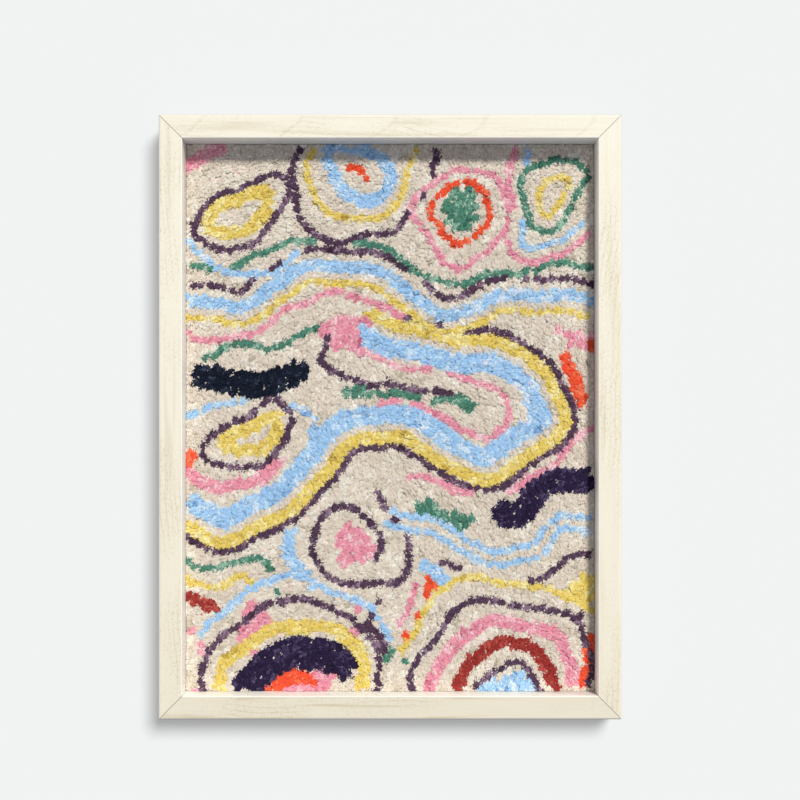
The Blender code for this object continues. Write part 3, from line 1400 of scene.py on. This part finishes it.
    def map_strands(
        self, mesh: bpy.types.Mesh, corners: np.ndarray, faces: np.ndarray, shades: np.ndarray
    ) -> None:
        """Lays each strand on two like maps by its shade across and its height up.

        Every point with the same shade and height has the same colour, so one small picture holds them all.

        Args:
            mesh: The piece's mesh.
            corners: One strand's corners.
            faces: The corners of each of its triangles.
            shades: Each strand's shade, from 0 to 1.
        """
        sideways = corners[:, 0] * self.SHADE_WIDTH
        tip = self.TIP_HEIGHT + self.TIP_BAND * corners[:, 1]
        up = np.where(corners[:, 2] > 0.5, tip, self.ROOT_HEIGHT)
        across = shades[:, None] + sideways[None, :]
        spots = np.stack([across, np.broadcast_to(up, across.shape)], 2)[:, faces.ravel()]
        for name in (YarnFinish.strand_map, "OFBake"):
            layer = mesh.uv_layers.new(name=name)
            layer.uv.foreach_set("vector", spots.astype(np.float32).ravel())


@dataclass
class GroundCloth:
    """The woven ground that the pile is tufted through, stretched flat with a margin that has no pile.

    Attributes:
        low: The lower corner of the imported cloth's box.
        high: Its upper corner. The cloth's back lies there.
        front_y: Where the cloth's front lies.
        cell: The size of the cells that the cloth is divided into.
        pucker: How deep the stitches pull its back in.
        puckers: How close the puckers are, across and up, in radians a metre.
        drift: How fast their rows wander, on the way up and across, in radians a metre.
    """

    low: Vector
    high: Vector
    front_y: float
    cell: float = 0.004
    pucker: float = 0.00012
    puckers: Point = (190.0, 170.0)
    drift: Point = (60.0, 70.0)

    @property
    def size(self) -> Point:
        """The cloth's width and length."""
        return (self.high.x - self.low.x, self.high.z - self.low.z)

    def build(self, finish: bpy.types.Material) -> bpy.types.Object:
        """Builds the cloth as a thin sheet with two faces.

        Args:
            finish: Its material.

        Returns:
            The cloth.
        """
        width, length = self.size
        shape = bmesh.new()
        across, up = round(width / self.cell), round(length / self.cell)
        bmesh.ops.create_grid(shape, x_segments=across, y_segments=up, size=0.5)
        middle = (self.low + self.high) / 2
        for corner in shape.verts:
            x, z = corner.co.x * width, corner.co.y * length
            swell_x = math.sin(x * self.puckers[0] + 2 * math.sin(z * self.drift[0]))
            swell_z = math.cos(z * self.puckers[1] + 2 * math.sin(x * self.drift[1]))
            pull = self.pucker * swell_x * swell_z
            corner.co = (middle.x + x, self.high.y - self.pucker - pull, middle.z + z)
        made = bmesh.ops.extrude_face_region(shape, geom=list(shape.faces))["geom"]
        for part in made:
            if isinstance(part, bmesh.types.BMVert):
                part.co.y = self.front_y
        bmesh.ops.recalc_face_normals(shape, faces=shape.faces)
        mesh = bpy.data.meshes.new("ground_cloth")
        shape.to_mesh(mesh)
        shape.free()
        mesh.materials.append(finish)
        log.info("ground cloth is %.0f x %.0f mm", width / MM, length / MM)
        return placed("ground_cloth", mesh)


@dataclass
class BoxFrame:
    """The frame's rails and spacers, which keep their solids and take their finishes.

    Attributes:
        low: The lower corner of the frame's box.
        high: Its upper corner.
        face: The width of a rail's face.
        spacer: The finish of the spacers.
    """

    low: Vector
    high: Vector
    face: float = 0.017
    spacer: SpacerFinish = SpacerFinish()

    def woods(self) -> dict[str, WoodFinish]:
        """Cuts each rail from its own piece of wood.

        Returns:
            Each rail's wood, by the side that the rail is on.
        """
        half = self.face / 2
        top, bottom = self.high.z - half, self.low.z + half
        left, right, front = self.low.x + half, self.high.x - half, self.low.y
        # The top and right rails' darker outer colours are painted shade, as is the bottom rail's darkened
        # lowest edge.
        return {
            "top": WoodFinish(
                "wood_top", False, 1.0, top, self.face, front, 3.1,
                brown=0.32, arcs=0.20, outer=(214, 206, 188),
            ),
            "bottom": WoodFinish(
                "wood_bottom", False, -1.0, bottom, self.face, front, 11.7,
                slant=0.02, brown=0.6, tone=0.955, under=0.9,
            ),
            "left": WoodFinish(
                "wood_left", True, -1.0, left, self.face, front, 23.9,
                slant=0.04, brown=0.2,
            ),
            "right": WoodFinish(
                "wood_right", True, 1.0, right, self.face, front, 37.3,
                slant=-0.07, brown=0.14, lower_shade=0.22, outer=(240, 236, 224),
            ),
        }

    def dress(self) -> None:
        """Gives each rail wood that runs along it, and the spacers their coating."""
        for side, finish in self.woods().items():
            self.wear(f"rail_{side}", finish.material())
        coating = self.spacer.material()
        for side in ("top", "bottom", "left", "right"):
            self.wear(f"spacer_{side}", coating)

    @staticmethod
    def wear(node: str, material: bpy.types.Material) -> None:
        """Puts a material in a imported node's slot."""
        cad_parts[node].material_slots[0].material = material
        log.info("%s wears %s", node, material.name)


class Reach(Enum):
    """What a lamp lights."""

    WALL = "the wall alone"
    OBJECT = "all but the wall"
    FRAME = "the rails and spacers alone"


@dataclass(frozen=True)
class Lamp:
    """A distant lamp.

    Attributes:
        name: Its name.
        strength: Its light on a surface that faces it.
        softness: How wide it looks, in degrees.
        way: The way to it.
        reach: What it lights.
        colour: Its colour.
    """

    name: str
    strength: float
    softness: float
    way: Numbers
    reach: Reach = Reach.OBJECT
    colour: Colour = (255, 253, 250)


@dataclass
class Studio:
    """The pale wall and floor, the soft light and the camera.

    The wall has a softer lamp than the picture has. Its paint is dark, but it glows and its lamp is
    strong, so it looks pale, and the light that the frame's sides throw back hardly shows on it.

    Attributes:
        middle: The middle of the part's box.
        face_y: Where the frame's face lies.
        distance: From the camera to the frame's face.
        view_width: How much the camera sees across at that distance.
        sensor: The width of the camera's sensor, in millimetres.
        aside: How far to the right of the middle the camera stands.
        below: How far below the middle it stands.
        shift: How far its view is shifted, as shares of its width.
        lamps: The lamps.
        wall_paint: The paint of the wall.
        floor_paint: The paint of the floor.
        floor_below: How far below the middle the floor lies.
        wall_behind: How far behind the part the wall stands.
        wall_above: The height that the wall reaches.
        reach: How far the stage reaches to each side.
        sky_light: The strength of the light from all round.
        sky_seen: Its strength where the camera sees it.
        sky_colour: The colour of the light from all round.
        seen_colour: Its colour where the camera sees it.
    """

    middle: Vector
    face_y: float
    distance: float = 0.930
    view_width: float = 0.5762
    sensor: float = 36.0
    aside: float = -0.0045
    below: float = 0.0134
    shift: Point = (0.020, 0.0445)
    lamps: tuple[Lamp, ...] = (
        Lamp("key", 2.74, 11.0, (0.34, -1.0, 0.71), Reach.OBJECT, (255, 252, 245)),
        Lamp("high", 0.80, 8.0, (0.75, -0.24, 0.8), Reach.FRAME),
        Lamp("left_fill", 0.45, 3.0, (-1.0, -0.035, 0.0), Reach.FRAME),
        Lamp("low_fill", 0.22, 3.0, (0.0, -0.06, -1.0), Reach.FRAME, (140, 200, 255)),
        Lamp("wall_lamp", 23.0, 22.0, (0.39, -1.0, 0.51), Reach.WALL, (255, 255, 255)),
        Lamp("back_fill", 1.6, 40.0, (-0.05, 1.0, 0.12), Reach.OBJECT, (255, 255, 255)),
    )
    wall_paint: StageFinish = StageFinish("wall_paint", (79, 80, 80), 0.38, one_sided=True)
    floor_paint: StageFinish = StageFinish("floor_paint", (238, 238, 236))
    floor_below: float = 1.1
    wall_behind: float = 0.0006
    wall_above: float = 2.0
    reach: float = 3.0
    sky_light: float = 0.295
    sky_seen: float = 0.86
    sky_colour: Colour = (233, 238, 255)
    seen_colour: Colour = (253, 254, 254)

    def build(self) -> None:
        """Builds the stage."""
        self.camera()
        floor_z, far, wall_y = self.middle.z - self.floor_below, self.reach, self.wall_behind
        top = Vector((far, wall_y, self.wall_above))
        wall = self.surface("wall", Vector((-far, wall_y, floor_z)), top, self.wall_paint)
        self.surface("floor", Vector((-far, -far, floor_z)), Vector((far, far, floor_z)), self.floor_paint)
        for lamp in self.lamps:
            self.hang(lamp, wall)
        self.sky()
        bpy.context.scene.view_settings.view_transform = "Standard"
        log.info("stage, %d lamps and camera are set", len(self.lamps))

    def camera(self) -> None:
        """Sets the camera face on to the picture, a little below and left of its middle."""
        data = bpy.data.cameras.new("camera")
        data.sensor_width = self.sensor
        data.lens = self.sensor * self.distance / self.view_width
        data.shift_x, data.shift_y = self.shift
        camera = placed("camera", data)
        x, z = self.middle.x + self.aside, self.middle.z - self.below
        camera.location = (x, self.face_y - self.distance, z)
        camera.rotation_euler = (math.radians(90), 0.0, 0.0)
        bpy.context.scene.camera = camera

    @staticmethod
    def hang(lamp: Lamp, wall: bpy.types.Object) -> None:
        """Adds a lamp, and sets what it lights.

        Args:
            lamp: The lamp.
            wall: The wall, which has a lamp of its own.
        """
        data = bpy.data.lights.new(lamp.name, "SUN")
        data.energy = lamp.strength
        data.angle = math.radians(lamp.softness)
        data.color = linear(lamp.colour)[:3]
        light = placed(lamp.name, data)
        light.rotation_euler = Vector(lamp.way).to_track_quat("Z", "Y").to_euler()
        frame_nodes = [node for name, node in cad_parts.items() if name != CLOTH_NODE]
        lit = bpy.data.collections.new(f"{lamp.name}_reach")
        for thing in frame_nodes if lamp.reach is Reach.FRAME else [wall]:
            lit.objects.link(thing)
        for held in lit.collection_objects:
            held.light_linking.link_state = "EXCLUDE" if lamp.reach is Reach.OBJECT else "INCLUDE"
        light.light_linking.receiver_collection = lit

    @staticmethod
    def surface(name: str, low: Vector, high: Vector, finish: StageFinish) -> bpy.types.Object:
        """Adds a flat rectangle of the stage, which neither lights nor shades the rest.

        Args:
            name: Its name.
            low: Its lower left corner, or for the floor its near left one.
            high: The corner across from that.
            finish: Its paint.

        Returns:
            The rectangle.
        """
        shape = bmesh.new()
        bmesh.ops.create_grid(shape, x_segments=1, y_segments=1, size=0.5)
        for corner in shape.verts:
            across, along = corner.co.x + 0.5, corner.co.y + 0.5
            shares = (across, along, along)
            corner.co = [start + share * (end - start) for start, end, share in zip(low, high, shares)]
        mesh = bpy.data.meshes.new(name)
        shape.to_mesh(mesh)
        shape.free()
        mesh.materials.append(finish.material())
        made = placed(name, mesh)
        made.visible_diffuse = False
        made.visible_glossy = False
        made.visible_shadow = False
        return made

    def sky(self) -> None:
        """Sets the light that comes from all round. Where the camera sees it, it is paler."""
        world = bpy.data.worlds.new("soft_sky")
        world.use_nodes = True
        net = NodeNet(world.node_tree)
        sky = net.tree.nodes["Background"]
        seen = net.node("ShaderNodeLightPath", {}, {}).outputs["Is Camera Ray"]
        sockets = {"Value": seen, "To Min": self.sky_light, "To Max": self.sky_seen}
        net.put(sky.inputs["Strength"], net.node("ShaderNodeMapRange", {}, sockets).outputs[0])
        net.put(sky.inputs["Color"], net.mixed(seen, linear(self.sky_colour), linear(self.seen_colour)))
        bpy.context.scene.world = world


def main() -> None:
    """Builds the picture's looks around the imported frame."""
    cad_low, cad_high = CAD_BOX
    middle = (cad_low + cad_high) / 2
    Studio(middle, cad_low.y).build()
    BoxFrame(cad_low, cad_high).dress()

    inner_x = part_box("spacer_right")[0].x
    inner_z = (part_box("spacer_top")[0].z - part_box("spacer_bottom")[1].z) / 2
    cloth_low, cloth_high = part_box(CLOTH_NODE)
    ground_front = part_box("spacer_top")[1].y + PACKED_GAP
    half_width, half_height = inner_x - PILE_INSET, inner_z - PILE_INSET

    layout = PictureLayout(half_width / MM, half_height / MM)
    tufts = layout.lay()
    log.info("the picture has %d tufts", len(tufts.places))
    finishes = {yarn: YarnFinish(yarn, YARN_SHADES[yarn]).material() for yarn in Yarn}
    pile = CutPile(half_width, half_height, middle.z, ground_front)
    pieces = pile.build(tufts, finishes)

    ground = GroundCloth(cloth_low, cloth_high, ground_front)
    cloth = ground.build(GroundFinish().material())
    for piece in [*pieces, cloth]:
        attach(piece, BODY)
        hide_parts(CLOTH_NODE)


if __name__ == "__main__":
    main()
